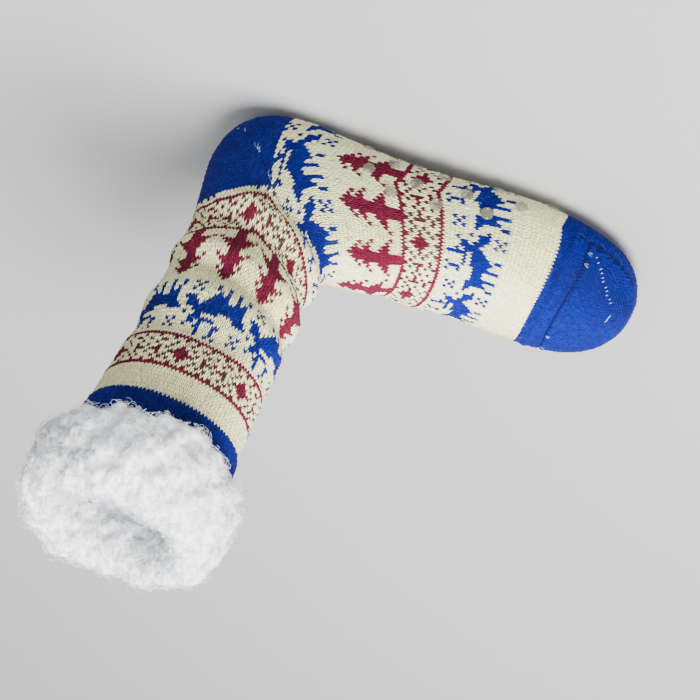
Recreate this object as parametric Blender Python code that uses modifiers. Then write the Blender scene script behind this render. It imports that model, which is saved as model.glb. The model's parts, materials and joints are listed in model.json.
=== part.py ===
"""A lined slipper sock that stands empty on its sole: a knitted foot and leg with a toe seam and a welt,
a pile lining, the lining's turned-out collar, and silicone dots under the sole.

Lengths are in metres. Along the foot x runs from the back of the heel (0) to the tip of the toe, y is
across and z is up from the floor. The empty that carries the pieces moves them to the middle of the floor.
"""

import math

import bmesh
import bpy
import numpy as np
from mathutils import Vector

# Driving sizes of the knit
FOOT_LENGTH = 0.240
BALL_WIDTH = 0.086
HEEL_WIDTH = 0.062
INSTEP_HEIGHT = 0.078
HEEL_HEIGHT = 0.056
LEG_DEPTH = 0.077
LEG_WIDTH = 0.058
KNIT_HEIGHT = 0.240
KNIT_WALL = 0.0020

# The toe seam is a low ridge across the instep, and the welt a thicker band at the top
SEAM_FROM_TIP = 0.046
SEAM_HEIGHT = 0.0009
SEAM_WIDTH = 0.0034
WELT_HEIGHT = 0.024
WELT_STEP = 0.0006

# Lining and collar
FIT_GAP = 0.0003
LINING_CLEARANCE = 0.0009
LINING_THICKNESS = 0.0045
CUFF_HEIGHT = 0.038
CUFF_BULGE = 0.0105
CUFF_LIP = 0.0070
CUFF_INNER = 0.0095
TUFT_DEPTH = 0.0024

# The collar's pile stands out in waves: times round the collar, radians a place along its section, start and
# share
PILE_WAVES = (
    (15, 2.3, 0.4, 0.42),
    (11, -1.7, 2.1, 0.34),
    (6, 1.1, 4.0, 0.36),
    (3, 0.3, 1.2, 0.50),
    (2, -0.2, 5.1, 0.45),
)

# Grip dots
DOT_DIAMETER = 0.0072
DOT_FLAT_DIAMETER = 0.0044
DOT_HEIGHT = 0.0009
DOT_PITCH_ALONG = 0.0305
DOT_PITCH_ACROSS = 0.0105
DOTS_START = 0.072
DOTS_IN_ROW = 4
SOLE_LIFT = DOT_HEIGHT + FIT_GAP

# The rows of dots, counted round from the sole's middle. The print sits off the middle, towards the left
# side.
FIRST_DOT_ROW = -3
LAST_DOT_ROW = 6

# Where the heel's flat spot ends and the sole has risen by the height of the dots
HEEL_FLAT_END = 0.050
LIFT_RUN = 0.014

# Fineness of the faces
SEGMENTS = 32
LINING_SEGMENTS = 16
CUFF_SEGMENTS = 48
DOT_SEGMENTS = 10
OUTLINE_SAMPLES = 288

# Sections of the foot, from the tip of the toe back to the ankle. top_x is a share of the way from the bend
# of the ankle to the tip, sole_x a share of FOOT_LENGTH, top_z and sole_z shares of INSTEP_HEIGHT, width a
# share of BALL_WIDTH, belly the height of the widest place as a share of the section, rings the rings to the
# next row.
FOOT_COLUMNS = ("top_x", "top_z", "sole_x", "sole_z", "width", "belly", "rings")
FOOT_SECTIONS = (
    (1.000, 0.270, 1.000, 0.266, 0.000, 0.50, 2),
    (0.987, 0.356, 0.993, 0.188, 0.290, 0.50, 2),
    (0.941, 0.466, 0.967, 0.094, 0.590, 0.49, 2),
    (0.862, 0.548, 0.921, 0.036, 0.815, 0.47, 2),
    (0.757, 0.598, 0.856, 0.014, 0.950, 0.45, 2),
    (0.632, 0.626, 0.783, -0.006, 0.996, 0.43, 2),
    (0.505, 0.658, 0.706, -0.008, 1.000, 0.42, 2),
    (0.372, 0.710, 0.615, 0.004, 0.962, 0.42, 2),
    (0.245, 0.782, 0.510, 0.030, 0.900, 0.42, 2),
    (0.125, 0.874, 0.388, 0.032, 0.835, 0.43, 3),
)

# Sections that fan round the heel. top_x is a share of the way from the leg's front to the ankle's bend,
# top_z a share of INSTEP_HEIGHT, heel_x a share of LEG_DEPTH, heel_z a share of HEEL_HEIGHT, width a share of
# HEEL_WIDTH.
HEEL_COLUMNS = ("top_x", "top_z", "heel_x", "heel_z", "width", "belly", "rings")
HEEL_SECTIONS = (
    (0.93, 0.955, 0.800, 0.004, 1.085, 0.44, 2),
    (0.62, 1.030, 0.480, -0.045, 1.040, 0.45, 2),
    (0.40, 1.090, 0.205, 0.040, 1.010, 0.46, 2),
    (0.22, 1.150, 0.045, 0.290, 0.985, 0.47, 2),
    (0.10, 1.215, 0.000, 0.640, 0.965, 0.48, 2),
    (0.03, 1.300, 0.035, 1.000, 0.950, 0.49, 2),
)

# Sections of the leg up to the top of the welt. front_z and back_z are shares of the way from the instep's
# height to KNIT_HEIGHT, back_x and depth shares of LEG_DEPTH, width a share of LEG_WIDTH.
LEG_COLUMNS = ("back_x", "depth", "front_z", "back_z", "width", "belly", "rings")
LEG_SECTIONS = (
    (0.088, 0.925, 0.250, 0.020, 1.000, 0.50, 3),
    (0.112, 0.915, 0.370, 0.215, 0.995, 0.50, 3),
    (0.108, 0.930, 0.510, 0.415, 1.000, 0.50, 3),
    (0.092, 0.950, 0.655, 0.610, 1.015, 0.50, 3),
    (0.078, 0.975, 0.800, 0.785, 1.035, 0.50, 3),
    (0.068, 0.992, 0.900, 0.895, 1.050, 0.50, 3),
    (0.064, 1.000, 1.000, 1.000, 1.055, 0.50, 0),
)

# How far in front of the heel the ankle bends, as a share of LEG_DEPTH
ANKLE_BEND = 1.13
LEG_FRONT = 1.00

# Soft folds of the slack shaft and instep, seen from the side. Each runs between two places, x as a share of
# LEG_DEPTH and z as a share of KNIT_HEIGHT. depth is in metres, out of the wall or, below 0, into it, reach is
# the half width of the fold, and tilt lifts it on the left side and lowers it on the right.
FOLD_COLUMNS = ("from_x", "from_z", "to_x", "to_z", "depth", "reach", "tilt")
FOLDS = (
    (1.22, 0.345, 0.62, 0.300, -0.0018, 0.0066, 0.0020),
    (1.10, 0.405, 0.42, 0.330, 0.0028, 0.0060, 0.0000),
    (1.05, 0.460, 0.30, 0.395, -0.0030, 0.0054, -0.0030),
    (1.08, 0.520, 0.02, 0.440, 0.0026, 0.0066, 0.0025),
    (1.05, 0.580, 0.35, 0.520, -0.0024, 0.0058, 0.0030),
    (0.95, 0.640, 0.05, 0.600, 0.0020, 0.0075, -0.0035),
    (0.70, 0.705, 0.08, 0.690, -0.0018, 0.0065, 0.0030),
    (1.60, 0.285, 1.30, 0.215, -0.0014, 0.0060, 0.0030),
    (2.05, 0.230, 1.85, 0.120, -0.0010, 0.0070, -0.0040),
)


def interpolate(rows, at):
    """Values at a place between rows, on a smooth curve through them. at counts rows from 0."""
    index = min(int(at), len(rows) - 2)
    share = at - index
    before = rows[max(index - 1, 0)]
    start = rows[index]
    end = rows[index + 1]
    after = rows[min(index + 2, len(rows) - 1)]
    leave = (end - before) * (0.5 if index > 0 else 1.0)
    arrive = (after - start) * (0.5 if index + 2 < len(rows) else 1.0)
    square = share * share
    cube = square * share
    return (
        start * (2 * cube - 3 * square + 1)
        + leave * (cube - 2 * square + share)
        + end * (3 * square - 2 * cube)
        + arrive * (cube - square)
    )


def sections():
    """Every section from toe to welt as rows of top x, top z, back x, back z, half width and belly, with the
    number of rings that each row leads to."""
    bend_x = ANKLE_BEND * LEG_DEPTH
    front_x = LEG_FRONT * LEG_DEPTH
    leg_rise = KNIT_HEIGHT - INSTEP_HEIGHT
    rows = []
    rings = []
    for values in FOOT_SECTIONS:
        row = dict(zip(FOOT_COLUMNS, values))
        rows.append((
            bend_x + row["top_x"] * (FOOT_LENGTH - bend_x),
            row["top_z"] * INSTEP_HEIGHT,
            row["sole_x"] * FOOT_LENGTH,
            row["sole_z"] * INSTEP_HEIGHT,
            row["width"] * BALL_WIDTH / 2,
            row["belly"],
        ))
        rings.append(row["rings"])
    for values in HEEL_SECTIONS:
        row = dict(zip(HEEL_COLUMNS, values))
        rows.append((
            front_x + row["top_x"] * (bend_x - front_x),
            row["top_z"] * INSTEP_HEIGHT,
            row["heel_x"] * LEG_DEPTH,
            row["heel_z"] * HEEL_HEIGHT,
            row["width"] * HEEL_WIDTH / 2,
            row["belly"],
        ))
        rings.append(row["rings"])
    for values in LEG_SECTIONS:
        row = dict(zip(LEG_COLUMNS, values))
        rows.append((
            (row["back_x"] + row["depth"]) * LEG_DEPTH,
            INSTEP_HEIGHT + row["front_z"] * leg_rise,
            row["back_x"] * LEG_DEPTH,
            INSTEP_HEIGHT + row["back_z"] * leg_rise,
            row["width"] * LEG_WIDTH / 2,
            row["belly"],
        ))
        rings.append(row["rings"])
    return np.array(rows), rings


def sole_press(x):
    """Height of the floor under the knit: the heel rests on it, and further on the dots lift the sole."""
    share = np.clip((x - HEEL_FLAT_END) / LIFT_RUN, 0.0, 1.0)
    return SOLE_LIFT * share * share * (3 - 2 * share)


def outline(section, segments):
    """Points round one section, evenly spaced from the middle of the sole, over the left side, to the top."""
    top_x, top_z, back_x, back_z, half_width, belly = section
    angle = np.linspace(0.0, 2 * math.pi, OUTLINE_SAMPLES + 1) - math.pi / 2
    height = math.hypot(top_x - back_x, top_z - back_z)
    upright = (top_x - back_x) ** 2 / max(height * height, 1e-12)
    low_power = 2.0 + 0.7 * (1.0 - upright)
    power = np.where(np.sin(angle) < 0, low_power, 2.1)
    across = np.sign(np.cos(angle)) * np.abs(np.cos(angle)) ** (2 / power) * half_width
    lift = np.sign(np.sin(angle)) * np.abs(np.sin(angle)) ** (2 / power)
    share = np.where(lift < 0, belly * (1 + lift), belly + (1 - belly) * lift)
    points = np.stack(
        [back_x + share * (top_x - back_x), across, back_z + share * (top_z - back_z)], axis=1
    )
    points[:, 2] = np.maximum(points[:, 2], sole_press(points[:, 0]))
    steps = np.linalg.norm(np.diff(points, axis=0), axis=1)
    run = np.concatenate([[0.0], np.cumsum(steps)])
    wanted = np.arange(segments) / segments * run[-1]
    return np.stack([np.interp(wanted, run, points[:, k]) for k in range(3)], axis=1)


def fold_depth(points):
    """How far the folds move each point out of the wall."""
    total = np.zeros(points.shape[:-1])
    side = np.clip(points[..., 1] / (LEG_WIDTH / 2), -1.0, 1.0)
    for values in FOLDS:
        fold = dict(zip(FOLD_COLUMNS, values))
        start = np.array([fold["from_x"] * LEG_DEPTH, fold["from_z"] * KNIT_HEIGHT])
        run = np.array([fold["to_x"] * LEG_DEPTH, fold["to_z"] * KNIT_HEIGHT]) - start
        seen = np.stack([points[..., 0], points[..., 2] - fold["tilt"] * side], axis=-1) - start
        share = np.clip((seen @ run) / (run @ run), 0.0, 1.0)
        away = np.linalg.norm(seen - share[..., None] * run, axis=-1)
        total += fold["depth"] * np.exp(-((away / fold["reach"]) ** 2))
    return total


def surface_normals(grid):
    """Outward unit normals of a grid of rings, each closed round."""
    along = np.gradient(grid, axis=0)
    around = np.roll(grid, -1, axis=1) - np.roll(grid, 1, axis=1)
    normals = np.cross(along, around)
    size = np.linalg.norm(normals, axis=2, keepdims=True)
    normals = normals / np.maximum(size, 1e-12)
    normals[0] = (1.0, 0.0, 0.0)
    return normals


def relief(grid):
    """Steps in the knit's wall: the ridge of the toe seam on the instep half, and the welt."""
    middle = grid.mean(axis=1, keepdims=True)
    upper = np.clip((grid[..., 2] - middle[..., 2]) / (0.10 * INSTEP_HEIGHT) + 0.5, 0.0, 1.0)
    from_seam = (grid[..., 0] - (FOOT_LENGTH - SEAM_FROM_TIP)) / (SEAM_WIDTH / 2)
    seam = SEAM_HEIGHT * np.exp(-(from_seam**2)) * upper * (grid[..., 0] > FOOT_LENGTH / 2)
    into_welt = (grid[..., 2] - (KNIT_HEIGHT - WELT_HEIGHT)) / (2 * SEAM_WIDTH)
    return seam + WELT_STEP * np.clip(into_welt + 0.5, 0.0, 1.0)


def ring_places():
    """Rows of the section tables, and the places of the rings along the sock, counted in those rows."""
    rows, rings = sections()
    places = []
    for index, count in enumerate(rings):
        places.extend(index + step / count for step in range(count))
    places.append(float(len(rows) - 1))
    return rows, places


def knit_grid(segments):
    """The outer face of the knit as rings of points, and its outward normals."""
    rows, places = ring_places()
    smooth = np.array([outline(interpolate(rows, at), segments) for at in places])
    smooth[0] = smooth[0].mean(axis=0)
    normals = surface_normals(smooth)
    raised = fold_depth(smooth) + relief(smooth)
    grid = smooth + normals * raised[..., None]
    grid[..., 2] = np.maximum(grid[..., 2], sole_press(grid[..., 0]))
    grid[-1, :, 2] = KNIT_HEIGHT
    return grid, surface_normals(grid)


def mesh_from_rings(name, grid, closed_start):
    """A mesh through rings of points. closed_start ends the first ring in one point."""
    shape = bmesh.new()
    rings = [[shape.verts.new(point) for point in ring] for ring in grid[1 if closed_start else 0:]]
    count = grid.shape[1]
    if closed_start:
        tip = shape.verts.new(grid[0, 0])
        for i in range(count):
            shape.faces.new((tip, rings[0][(i + 1) % count], rings[0][i]))
    for lower, upper in zip(rings, rings[1:]):
        for i in range(count):
            after = (i + 1) % count
            shape.faces.new((lower[i], lower[after], upper[after], upper[i]))
    bmesh.ops.recalc_face_normals(shape, faces=shape.faces[:])
    mesh = bpy.data.meshes.new(name)
    shape.to_mesh(mesh)
    shape.free()
    mesh.shade_smooth()
    return mesh


def material(name, colour, roughness, alpha=1.0):
    """A plain material of the part's own colour."""
    made = bpy.data.materials.new(name)
    made.use_nodes = True
    shader = made.node_tree.nodes["Principled BSDF"]
    shader.inputs["Base Color"].default_value = (*colour, 1.0)
    shader.inputs["Roughness"].default_value = roughness
    shader.inputs["Metallic"].default_value = 0.0
    shader.inputs["Alpha"].default_value = alpha
    made.diffuse_color = (*colour, alpha)
    return made


def add_piece(name, mesh, finish, carrier, collection):
    """An object of the mesh with its material, carried by the empty."""
    mesh.materials.append(finish)
    piece = bpy.data.objects.new(name, mesh)
    collection.objects.link(piece)
    piece.parent = carrier
    return piece


def add_wall(piece, thickness):
    """Gives an open surface its wall, inward from the face that is modelled."""
    shell = piece.modifiers.new("wall", "SOLIDIFY")
    shell.thickness = thickness
    shell.offset = -1.0
    shell.use_even_offset = True


def add_knit(carrier, collection):
    grid, _ = knit_grid(SEGMENTS)
    finish = material("jacquard_knit", (0.80, 0.78, 0.69), 0.85)
    piece = add_piece("knit_sock", mesh_from_rings("knit_sock", grid, True), finish, carrier, collection)
    add_wall(piece, KNIT_WALL)
    return piece


def add_lining(carrier, collection, finish):
    """The lining has the knit's own rings, drawn in by the wall and a clearance, so it follows every fold."""
    grid, normals = knit_grid(SEGMENTS)
    step = SEGMENTS // LINING_SEGMENTS
    drawn_in = grid - normals * (KNIT_WALL + LINING_CLEARANCE)
    drawn_in[-1, :, 2] = KNIT_HEIGHT
    mesh = mesh_from_rings("sherpa_lining", drawn_in[:, ::step], True)
    piece = add_piece("sherpa_lining", mesh, finish, carrier, collection)
    add_wall(piece, LINING_THICKNESS)
    return piece


def cuff_profile():
    """The collar's section as places (out of the knit's face, above its top), from the inside round."""
    seat_in = -(KNIT_WALL + LINING_CLEARANCE + LINING_THICKNESS)
    return np.array([
        (seat_in, FIT_GAP),
        (FIT_GAP * 2, FIT_GAP),
        (FIT_GAP * 2, -0.70 * CUFF_LIP),
        (0.38 * CUFF_BULGE, -CUFF_LIP),
        (0.82 * CUFF_BULGE, -0.40 * CUFF_LIP),
        (1.00 * CUFF_BULGE, 0.14 * CUFF_HEIGHT),
        (1.02 * CUFF_BULGE, 0.36 * CUFF_HEIGHT),
        (0.90 * CUFF_BULGE, 0.60 * CUFF_HEIGHT),
        (0.58 * CUFF_BULGE, 0.83 * CUFF_HEIGHT),
        (0.05 * CUFF_BULGE, 0.97 * CUFF_HEIGHT),
        (-0.52 * CUFF_INNER, 0.95 * CUFF_HEIGHT),
        (-0.92 * CUFF_INNER, 0.76 * CUFF_HEIGHT),
        (-1.00 * CUFF_INNER, 0.48 * CUFF_HEIGHT),
        (-0.88 * CUFF_INNER, 0.20 * CUFF_HEIGHT),
    ])


def pile_lump(turn, k):
    """How far the pile stands out at a place round the collar and along its section, from -1 to 1."""
    return sum(
        share * math.sin(2 * math.pi * around * turn + along * k + start)
        for around, along, start, share in PILE_WAVES
    )


def add_cuff(carrier, collection, finish):
    """The collar is lofted round the welt, with the pile's curled locks standing out of it as lumps."""
    grid, normals = knit_grid(CUFF_SEGMENTS)
    top = grid[-1]
    outward = normals[-1] * (1.0, 1.0, 0.0)
    outward /= np.linalg.norm(outward, axis=1, keepdims=True)
    profile = cuff_profile()
    centre = profile[4:].mean(axis=0)
    shape = bmesh.new()
    rings = []
    for i, (point, out) in enumerate(zip(top, outward)):
        turn = i / CUFF_SEGMENTS
        ring = []
        for k, place in enumerate(profile):
            if k > 2:
                direction = (place - centre) / np.linalg.norm(place - centre)
                inner = 0.5 if place[0] < 0 else 1.0
                place = place + direction * TUFT_DEPTH * inner * pile_lump(turn, k)
            away, above = place
            across = (point[0] + out[0] * away, point[1] + out[1] * away)
            ring.append(shape.verts.new((*across, KNIT_HEIGHT + above)))
        rings.append(ring)
    for i, ring in enumerate(rings):
        following = rings[(i + 1) % CUFF_SEGMENTS]
        for k in range(len(profile)):
            after = (k + 1) % len(profile)
            shape.faces.new((ring[k], following[k], following[after], ring[after]))
    bmesh.ops.recalc_face_normals(shape, faces=shape.faces[:])
    mesh = bpy.data.meshes.new("sherpa_cuff")
    shape.to_mesh(mesh)
    shape.free()
    mesh.shade_smooth()
    return add_piece("sherpa_cuff", mesh, finish, carrier, collection)


def sole_place(x, across):
    """Point and outward normal of the knit at a length from the heel and a distance round from the sole's
    middle line."""
    rows, _ = sections()
    low, high = 0.0, float(len(FOOT_SECTIONS) + 1)
    for _ in range(40):
        middle = (low + high) / 2
        if interpolate(rows, middle)[2] > x:
            low = middle
        else:
            high = middle

    def at(place, distance):
        ring = outline(interpolate(rows, place), OUTLINE_SAMPLES)
        loop = np.vstack([ring, ring[:1]])
        run = np.concatenate([[0.0], np.cumsum(np.linalg.norm(np.diff(loop, axis=0), axis=1))])
        wanted = distance % run[-1]
        return np.array([np.interp(wanted, run, loop[:, k]) for k in range(3)])

    step = 0.02
    along = at(low + step, across) - at(low - step, across)
    around = at(low, across + DOT_DIAMETER / 4) - at(low, across - DOT_DIAMETER / 4)
    normal = np.cross(along, around)
    return at(low, across), normal / np.linalg.norm(normal)


def dot_mesh():
    """A low round dot, its base at the origin and its flat top up z."""
    shape = bmesh.new()
    bmesh.ops.create_cone(
        shape,
        cap_ends=True,
        segments=DOT_SEGMENTS,
        radius1=DOT_DIAMETER / 2,
        radius2=DOT_FLAT_DIAMETER / 2,
        depth=DOT_HEIGHT,
    )
    bmesh.ops.translate(shape, verts=shape.verts[:], vec=(0.0, 0.0, DOT_HEIGHT / 2))
    mesh = bpy.data.meshes.new("grip_dot")
    shape.to_mesh(mesh)
    shape.free()
    return mesh


def add_dots(carrier, collection):
    """Staggered rows of dots over the sole and a little way up both sides."""
    mesh = dot_mesh()
    mesh.materials.append(material("silicone", (0.72, 0.74, 0.66), 0.35, 0.6))
    number = 0
    for row in range(FIRST_DOT_ROW, LAST_DOT_ROW + 1):
        shift = 0.0 if row % 2 else 0.5
        count = DOTS_IN_ROW - 1 if row == LAST_DOT_ROW else DOTS_IN_ROW
        for column in range(count):
            x = DOTS_START + (column + shift) * DOT_PITCH_ALONG
            point, normal = sole_place(x, row * DOT_PITCH_ACROSS)
            number += 1
            dot = bpy.data.objects.new(f"grip_dot_{number:02d}", mesh)
            collection.objects.link(dot)
            dot.parent = carrier
            dot.location = Vector(point) + Vector(normal) * FIT_GAP
            dot.rotation_mode = "QUATERNION"
            dot.rotation_quaternion = Vector(normal).to_track_quat("Z", "Y")


def centre_on_floor(carrier, collection):
    """Moves the carrier so that the whole sock stands on z = 0 with its box's middle over the origin."""
    bpy.context.view_layer.update()
    graph = bpy.context.evaluated_depsgraph_get()
    corners = []
    for piece in collection.objects:
        if piece.type == "MESH":
            seen = piece.evaluated_get(graph)
            corners.extend(seen.matrix_world @ vertex.co for vertex in seen.data.vertices)
    points = np.array(corners)
    low, high = points.min(axis=0), points.max(axis=0)
    carrier.location = (-(low[0] + high[0]) / 2, -(low[1] + high[1]) / 2, -low[2])


def main():
    for left_over in list(bpy.data.objects):
        bpy.data.objects.remove(left_over, do_unlink=True)
    collection = bpy.data.collections.new("slipper_sock")
    bpy.context.scene.collection.children.link(collection)
    carrier = bpy.data.objects.new("sock_carrier", None)
    collection.objects.link(carrier)
    fleece = material("sherpa_fleece", (0.90, 0.91, 0.92), 0.95)
    add_knit(carrier, collection)
    add_lining(carrier, collection, fleece)
    add_cuff(carrier, collection, fleece)
    add_dots(carrier, collection)
    centre_on_floor(carrier, collection)


main()
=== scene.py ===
"""Looks of the slipper sock: a stitch-by-stitch jacquard knit, a curled fleece collar and lining, and
silicone dots, on a pale floor. Lengths are in metres in the row frame: +x to the toe, +y to the left side,
+z up. A place on the knit is a course, counted from the toe's tip, and a turn, a share of the way round."""

import json
import math
from typing import NamedTuple

import bpy
import numpy as np
from mathutils import Matrix, Vector

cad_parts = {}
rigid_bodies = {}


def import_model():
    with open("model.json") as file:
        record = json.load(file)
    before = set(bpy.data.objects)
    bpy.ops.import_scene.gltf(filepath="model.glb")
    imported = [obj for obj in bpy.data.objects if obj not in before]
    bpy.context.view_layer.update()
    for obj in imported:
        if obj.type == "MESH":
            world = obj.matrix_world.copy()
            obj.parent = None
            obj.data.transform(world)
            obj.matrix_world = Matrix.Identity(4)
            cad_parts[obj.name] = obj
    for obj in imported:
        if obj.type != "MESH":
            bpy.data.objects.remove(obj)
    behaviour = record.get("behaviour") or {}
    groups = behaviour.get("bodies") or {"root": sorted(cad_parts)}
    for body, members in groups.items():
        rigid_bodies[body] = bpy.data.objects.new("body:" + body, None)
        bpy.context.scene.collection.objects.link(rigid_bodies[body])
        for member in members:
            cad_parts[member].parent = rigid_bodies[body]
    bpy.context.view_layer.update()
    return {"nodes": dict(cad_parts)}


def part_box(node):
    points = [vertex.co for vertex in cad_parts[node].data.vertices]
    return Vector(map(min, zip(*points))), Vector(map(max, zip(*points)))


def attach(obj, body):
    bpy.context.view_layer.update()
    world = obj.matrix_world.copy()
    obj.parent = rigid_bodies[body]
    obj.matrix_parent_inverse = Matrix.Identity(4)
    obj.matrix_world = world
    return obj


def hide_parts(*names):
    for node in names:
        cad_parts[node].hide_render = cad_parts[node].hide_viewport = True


RNG = np.random.default_rng(11)

# The knit's face, with the sizes and sections of the CAD part
FOOT_LENGTH = 0.240
BALL_WIDTH = 0.086
HEEL_WIDTH = 0.062
INSTEP_HEIGHT = 0.078
HEEL_HEIGHT = 0.056
LEG_DEPTH = 0.077
LEG_WIDTH = 0.058
KNIT_HEIGHT = 0.240
KNIT_WALL = 0.0020
SEAM_FROM_TIP = 0.046
SEAM_HEIGHT = 0.0009
SEAM_WIDTH = 0.0034
WELT_HEIGHT = 0.024
WELT_STEP = 0.0006
FIT_GAP = 0.0003
LINING_CLEARANCE = 0.0009
LINING_THICKNESS = 0.0045
CUFF_HEIGHT = 0.038
CUFF_BULGE = 0.0105
CUFF_LIP = 0.0070
CUFF_INNER = 0.0095
TUFT_DEPTH = 0.0024
SOLE_LIFT = 0.0012
HEEL_FLAT_END = 0.050
LIFT_RUN = 0.014
ANKLE_BEND = 1.13
LEG_FRONT = 1.00

# The collar's waves: times round, radians a place along its section, start and share
PILE_WAVES = (
    (15, 2.3, 0.4, 0.42),
    (11, -1.7, 2.1, 0.34),
    (6, 1.1, 4.0, 0.36),
    (3, 0.3, 1.2, 0.50),
    (2, -0.2, 5.1, 0.45),
)

# Foot: top_x from the ankle's bend to the tip, top_z, sole_x, sole_z, width, belly
FOOT_SECTIONS = (
    (1.000, 0.270, 1.000, 0.266, 0.000, 0.50),
    (0.987, 0.356, 0.993, 0.188, 0.290, 0.50),
    (0.941, 0.466, 0.967, 0.094, 0.590, 0.49),
    (0.862, 0.548, 0.921, 0.036, 0.815, 0.47),
    (0.757, 0.598, 0.856, 0.014, 0.950, 0.45),
    (0.632, 0.626, 0.783, -0.006, 0.996, 0.43),
    (0.505, 0.658, 0.706, -0.008, 1.000, 0.42),
    (0.372, 0.710, 0.615, 0.004, 0.962, 0.42),
    (0.245, 0.782, 0.510, 0.030, 0.900, 0.42),
    (0.125, 0.874, 0.388, 0.032, 0.835, 0.43),
)
# Heel: top_x from the leg's front to the ankle's bend, top_z, heel_x, heel_z, width, belly
HEEL_SECTIONS = (
    (0.93, 0.955, 0.800, 0.004, 1.085, 0.44),
    (0.62, 1.030, 0.480, -0.045, 1.040, 0.45),
    (0.40, 1.090, 0.205, 0.040, 1.010, 0.46),
    (0.22, 1.150, 0.045, 0.290, 0.985, 0.47),
    (0.10, 1.215, 0.000, 0.640, 0.965, 0.48),
    (0.03, 1.300, 0.035, 1.000, 0.950, 0.49),
)
# Leg: back_x, depth, front_z and back_z from the instep to the top, width, belly
LEG_SECTIONS = (
    (0.088, 0.925, 0.250, 0.020, 1.000, 0.50),
    (0.112, 0.915, 0.370, 0.215, 0.995, 0.50),
    (0.108, 0.930, 0.510, 0.415, 1.000, 0.50),
    (0.092, 0.950, 0.655, 0.610, 1.015, 0.50),
    (0.078, 0.975, 0.800, 0.785, 1.035, 0.50),
    (0.068, 0.992, 0.900, 0.895, 1.050, 0.50),
    (0.064, 1.000, 1.000, 1.000, 1.055, 0.50),
)
# Slack folds: from x and z, to x and z, depth out of the wall, half width, lift on the left side
FOLDS = (
    (1.22, 0.345, 0.62, 0.300, -0.0018, 0.0066, 0.0020),
    (1.10, 0.405, 0.42, 0.330, 0.0028, 0.0060, 0.0000),
    (1.05, 0.460, 0.30, 0.395, -0.0030, 0.0054, -0.0030),
    (1.08, 0.520, 0.02, 0.440, 0.0026, 0.0066, 0.0025),
    (1.05, 0.580, 0.35, 0.520, -0.0024, 0.0058, 0.0030),
    (0.95, 0.640, 0.05, 0.600, 0.0020, 0.0075, -0.0035),
    (0.70, 0.705, 0.08, 0.690, -0.0018, 0.0065, 0.0030),
    (1.60, 0.285, 1.30, 0.215, -0.0014, 0.0060, 0.0030),
    (2.05, 0.230, 1.85, 0.120, -0.0010, 0.0070, -0.0040),
)

# How square a section is: over the instep, and under the sole round and, where it lies flat, more
TOP_POWER = 2.1
SOLE_POWER = 2.0
SOLE_FLATTER = 0.7
# Over what share of the instep's height the toe seam fades out at the sides
SEAM_FADE = 0.10

# Fineness of the face's grid: places between two sections, points round, and samples of an outline
GRID_STEP = 0.05
GRID_ROUND = 192
OUTLINE_SAMPLES = 288
# These keep a place inside the last ring, and a length off zero
EDGE = 1e-6
TINY = 1e-12
# How many points are worked on at once where each is set against many others
PART_SIZE = 500

# The knit, counted in wales round and courses along. The heel's two halves add short courses, from none at
# HEEL_WIDE turns from the sole's middle to all of them at HEEL_NARROW.
WALES = 108
TOE_ROWS = 41
SEAM_ROW = 32
HEEL_ROW = 106
WELT_ROW = 166
ALL_ROWS = 177
HEEL_FOOT_ROWS = 15
HEEL_LEG_ROWS = 23
HEEL_WIDE = 0.25
HEEL_NARROW = 0.083
# A course of the plain toe and heel is this share of a patterned course
PLAIN_SHARE = 0.757
# The pitch of the courses up the leg, over which courses from the top they leave it, and how finely that is
# worked out
LEG_PITCH = 0.0023
LEVEL_FROM = 24.0
LEVEL_TO = 49.0
LEVEL_SAMPLES = 200
COURSE_STEP = 0.5

# Yarn colours, linear
CREAM = (0.900, 0.880, 0.520)
CRIMSON = (0.155, 0.006, 0.031)
BLUE = (0.001, 0.0085, 0.190)
PALE_BLUE = (0.350, 0.520, 0.850)
PINK = (0.560, 0.330, 0.330)
SLATE = (0.300, 0.330, 0.420)

# Charts, one string a course from the toe towards the collar, one letter a wale. # is a stitch of the motif's
# colour and : one that its neighbours half cover. A deer faces the sole on the left side.
DEER = (
    ".#.#...#..#..#..#.",
    "..#....#..#..#..#.",
    ".#.#....#.#..#.#..",
    ".......####..###..",
    "###...##########..",
    ".###.###########..",
    ".################.",
    "...#######....####",
    ".#..##............",
    "...#######........",
    "...##.#...##...#.#",
    "..#..##...#.....#.",
    "......#...#....#.#",
    "......#..#.#......",
    "..................",
)
CROSSES = (
    "..:...:..:..:...:.",
    ":..:#..:...:..#:..",
    "..:...:..#..:...:.",
    ":..:.:..###..:.:..",
    ".:#:..:#####:..:#:",
    ":..:.:..###..:.:..",
    "..:.#.:..#..:.#.:.",
    ":..:...:...:...:..",
)
TREES = (
    "....###.....",
    "....###.....",
    "#...###...#.",
    ".#########..",
    "..#######...",
    "...#####....",
    "....###.....",
    ".#..###..#..",
    "..#######...",
    "...#####....",
    "..#.###.#...",
    "...#####....",
    "....###.....",
    ".....#......",
)

# The bands from the toe's edge to the welt, with their courses
STARS = (("line", 1), ("crosses", len(CROSSES)), ("line", 1))
BANDS = (
    ("plain", 11),
    ("deer", len(DEER)), *STARS, ("trees", len(TREES)), ("plain", 2),
    ("deer", len(DEER)), *STARS, ("trees", len(TREES)), ("plain", 2),
    ("deer", len(DEER)), *STARS, ("plain", 7),
)

# Each band's chart, its yarn, the shade of that yarn seen through a cream stitch, how many cream stitches
# show it, and where the motif starts round the sock
CHARTS = {
    "deer": (DEER, BLUE, SLATE, 0.020, 1),
    "crosses": (CROSSES, CRIMSON, PINK, 0.100, 4),
    "trees": (TREES, CRIMSON, PINK, 0.025, 6),
}
SHOWS_THROUGH = (0.3, 0.75)
SQUEEZED_GROUND = 0.3

# How wide the legs of a stitch are that stands alone or is half covered, and how much painted shade darkens
# its yarn there, between the stitches that squeeze it
SLIM_AND_PAINTED_SHADE = {"#": (0.92, 0.85), ":": (0.60, 0.60)}

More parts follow.
